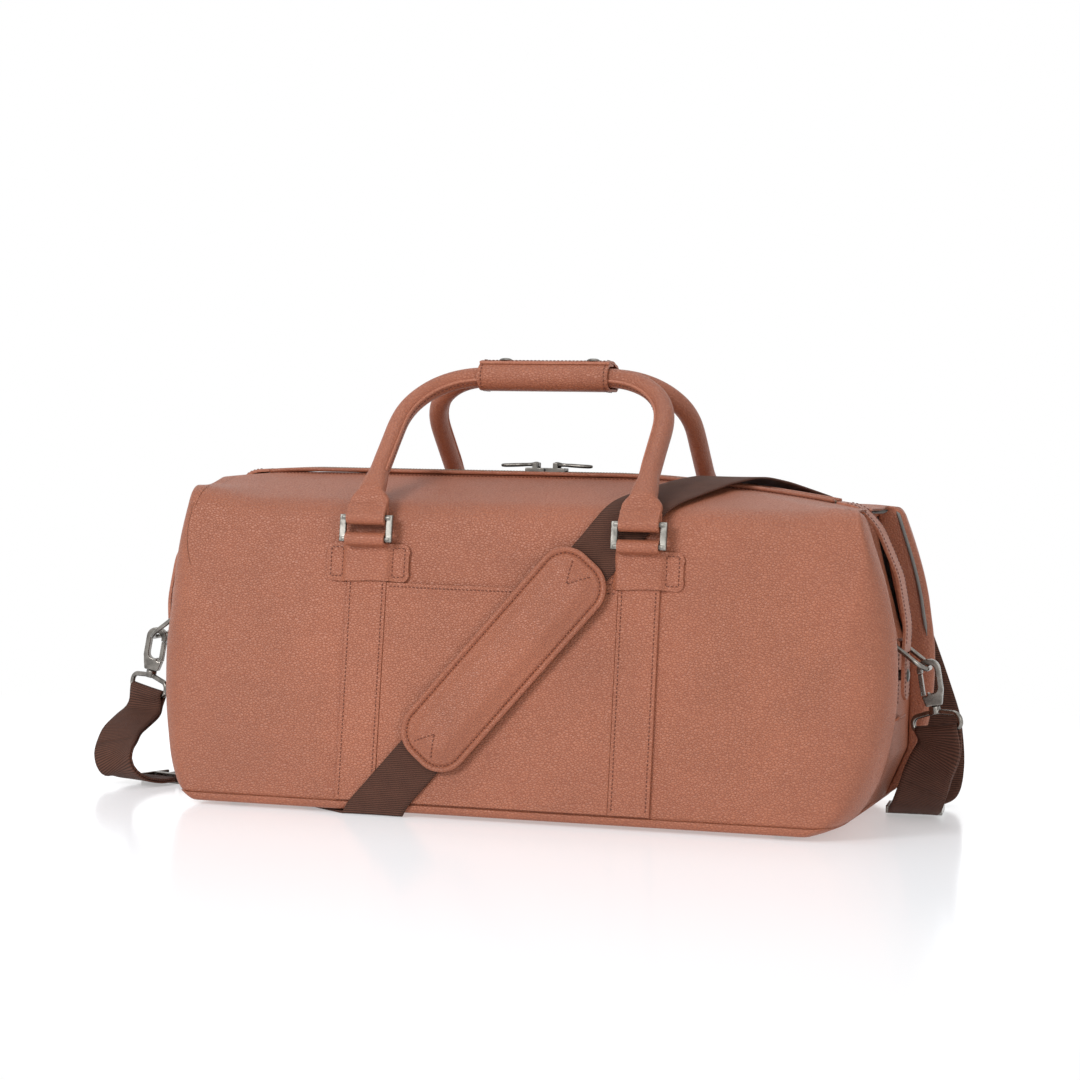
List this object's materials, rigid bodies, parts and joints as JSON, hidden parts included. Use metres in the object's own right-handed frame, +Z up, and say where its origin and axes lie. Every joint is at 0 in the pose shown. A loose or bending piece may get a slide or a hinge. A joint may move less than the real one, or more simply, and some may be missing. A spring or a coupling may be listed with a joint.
{
  "type": "weekender bag",
  "caption": "Soft leather weekender bag with a zipped top, two arched carry handles on metal rings joined by a snap grip, a front pocket and a shoulder strap with snap hooks.",
  "frame": {"origin": "middle of the base on the surface it stands on, under the middle foot", "axes": "+X along the bag's length to the viewer's right, +Y from the front face (with the pocket) to the back face, +Z up"},
  "size_m": [0.71, 0.2742, 0.3548],
  "materials": {
    "leather": "pebbled, waxed",
    "pad_leather": "smooth, waxed",
    "pad_backing": "suede",
    "lining": "twill",
    "board": "matt",
    "nickel": "satin nickel plate",
    "antique_nickel": "antique nickel plate",
    "zip_metal": "gunmetal plate",
    "zip_tape": "woven tape",
    "webbing": "ribbed webbing",
    "cord": "twisted cotton"
  },
  "bodies": {
    "root": {"base_panel": "leather", "left_gusset": "leather", "right_gusset": "leather", "front_panel": "leather", "back_panel": "leather", "front_strap_left": "leather", "front_plate_left": "leather", "front_strap_right": "leather", "front_plate_right": "leather", "back_strap_left": "leather", "back_plate_left": "leather", "back_strap_right": "leather", "back_plate_right": "leather", "front_pocket": "leather", "left_side_tab": "leather", "right_side_tab": "leather", "left_zip_wing": "leather", "right_zip_wing": "leather", "lining": "lining", "base_board": "board", "base_feet": "nickel", "stud_bases": "nickel", "zip_chain": "zip_metal", "zip_tapes": "zip_tape", "shoulder_webbing": "webbing", "left_strap_loop": "webbing", "right_strap_loop": "webbing"},
    "front_rings": {"front_ring_left": "nickel", "front_ring_right": "nickel"},
    "front_grab_handle": {"front_handle": "leather", "front_handle_cord": "cord", "grip_wrap": "leather"},
    "back_rings": {"back_ring_left": "nickel", "back_ring_right": "nickel"},
    "back_grab_handle": {"back_handle": "leather", "back_handle_cord": "cord"},
    "grip_cover": {"grip_flap": "leather", "grip_snaps": "zip_metal"},
    "left_slider": {"zip_slider_left": "zip_metal"},
    "left_pull": {"zip_pull_left": "zip_metal"},
    "left_ring": {"left_d_ring": "nickel"},
    "left_eye": {"left_swivel_eye": "antique_nickel"},
    "left_snap_hook": {"left_hook": "antique_nickel", "left_gate_pin": "antique_nickel"},
    "left_gate": {"left_hook_gate": "antique_nickel"},
    "left_tab": {"left_wing_tab": "leather", "left_stud_cap": "nickel"},
    "left_slide_buckle": {"left_adjuster": "antique_nickel"},
    "right_slider": {"zip_slider_right": "zip_metal"},
    "right_pull": {"zip_pull_right": "zip_metal"},
    "right_ring": {"right_d_ring": "nickel"},
    "right_eye": {"right_swivel_eye": "antique_nickel"},
    "right_snap_hook": {"right_hook": "antique_nickel", "right_gate_pin": "antique_nickel"},
    "right_gate": {"right_hook_gate": "antique_nickel"},
    "right_tab": {"right_wing_tab": "leather", "right_stud_cap": "nickel"},
    "right_slide_buckle": {"right_adjuster": "antique_nickel"},
    "strap_pad": {"shoulder_pad": "pad_leather", "pad_backing": "pad_backing"}
  },
  "joints": [
    {"name": "front_rings_tilt", "type": "hinge", "parent": "root", "child": "front_rings", "pos_m": [0, -0.11641, 0.2112], "axis": [1, 0, 0], "range_deg": [0, 60]},
    {"name": "front_handle_swing", "type": "hinge", "parent": "front_rings", "child": "front_grab_handle", "pos_m": [0, -0.11447, 0.22769], "axis": [1, 0, 0], "range_deg": [0, 120]},
    {"name": "back_rings_tilt", "type": "hinge", "parent": "root", "child": "back_rings", "pos_m": [0, 0.11641, 0.2112], "axis": [1, 0, 0], "range_deg": [-60, 0]},
    {"name": "back_handle_swing", "type": "hinge", "parent": "back_rings", "child": "back_grab_handle", "pos_m": [0, 0.11447, 0.22769], "axis": [1, 0, 0], "range_deg": [-120, 0]},
    {"name": "grip_open", "type": "hinge", "parent": "front_grab_handle", "child": "grip_cover", "pos_m": [0, 0.0097, 0.3294], "axis": [1, 0, 0], "range_deg": [-110, 0]},
    {"name": "left_slider_run", "type": "slide", "parent": "root", "child": "left_slider", "axis": [1, 0, 0], "range_m": [-0.17, 0], "deforming": ["zip_tapes", "zip_chain"]},
    {"name": "left_pull_flip", "type": "hinge", "parent": "left_slider", "child": "left_pull", "pos_m": [-0.0086, 0, 0.27045], "axis": [0, 1, 0], "range_deg": [0, 95]},
    {"name": "left_ring_swing", "type": "hinge", "parent": "root", "child": "left_ring", "pos_m": [-0.31628, 0, 0.138], "axis": [0, 1, 0], "range_deg": [-3, 12], "deforming": ["left_strap_loop"]},
    {"name": "left_hook_swing", "type": "hinge", "parent": "left_ring", "child": "left_eye", "pos_m": [-0.34024, 0, 0.11995], "axis": [0, 1, 0], "range_deg": [-3, 20], "deforming": ["left_strap_loop"]},
    {"name": "left_hook_turn", "type": "hinge", "parent": "left_eye", "child": "left_snap_hook", "pos_m": [-0.34024, 0, 0.11995], "axis": [0.1736, 0, 0.9848], "range_deg": [-15, 15]},
    {"name": "left_gate_open", "type": "hinge", "parent": "left_snap_hook", "child": "left_gate", "pos_m": [-0.33654, 0, 0.10061], "axis": [0, -1, 0], "range_deg": [0, 18], "stiffness_Nm_per_rad": 0.02, "springref_deg": -8.59},
    {"name": "left_tab_open", "type": "hinge", "parent": "root", "child": "left_tab", "pos_m": [-0.32106, 0, 0.131], "axis": [0, 1, 0], "range_deg": [0, 10]},
    {"name": "right_slider_run", "type": "slide", "parent": "root", "child": "right_slider", "axis": [1, 0, 0], "range_m": [0, 0.045], "deforming": ["zip_tapes", "zip_chain"]},
    {"name": "right_pull_flip", "type": "hinge", "parent": "right_slider", "child": "right_pull", "pos_m": [0.0086, 0, 0.27045], "axis": [0, -1, 0], "range_deg": [0, 95]},
    {"name": "right_ring_swing", "type": "hinge", "parent": "root", "child": "right_ring", "pos_m": [0.28528, 0, 0.138], "axis": [0, 1, 0], "range_deg": [-12, 3], "deforming": ["right_strap_loop"]},
    {"name": "right_hook_swing", "type": "hinge", "parent": "right_ring", "child": "right_eye", "pos_m": [0.30924, 0, 0.11995], "axis": [0, 1, 0], "range_deg": [-20, 3], "deforming": ["right_strap_loop"]},
    {"name": "right_hook_turn", "type": "hinge", "parent": "right_eye", "child": "right_snap_hook", "pos_m": [0.30924, 0, 0.11995], "axis": [-0.1736, 0, 0.9848], "range_deg": [-15, 15]},
    {"name": "right_gate_open", "type": "hinge", "parent": "right_snap_hook", "child": "right_gate", "pos_m": [0.30554, 0, 0.10061], "axis": [0, 1, 0], "range_deg": [0, 18], "stiffness_Nm_per_rad": 0.02, "springref_deg": -8.59},
    {"name": "right_tab_open", "type": "hinge", "parent": "root", "child": "right_tab", "pos_m": [0.29006, 0, 0.131], "axis": [0, -1, 0], "range_deg": [0, 10]},
    {"name": "left_buckle_run", "type": "slide", "parent": "root", "child": "left_slide_buckle", "axis": [-0.2924, -0.9563, 0], "range_m": [-0.002, 0.012], "deforming": ["left_strap_loop"]},
    {"name": "right_buckle_run", "type": "slide", "parent": "root", "child": "right_slide_buckle", "axis": [0.0872, -0.9962, 0], "range_m": [-0.012, 0.012], "deforming": ["right_strap_loop"]},
    {"name": "pad_run", "type": "slide", "parent": "root", "child": "strap_pad", "axis": [0.6428, 0.0894, 0.7608], "range_m": [-0.03, 0.004]}
  ]
}
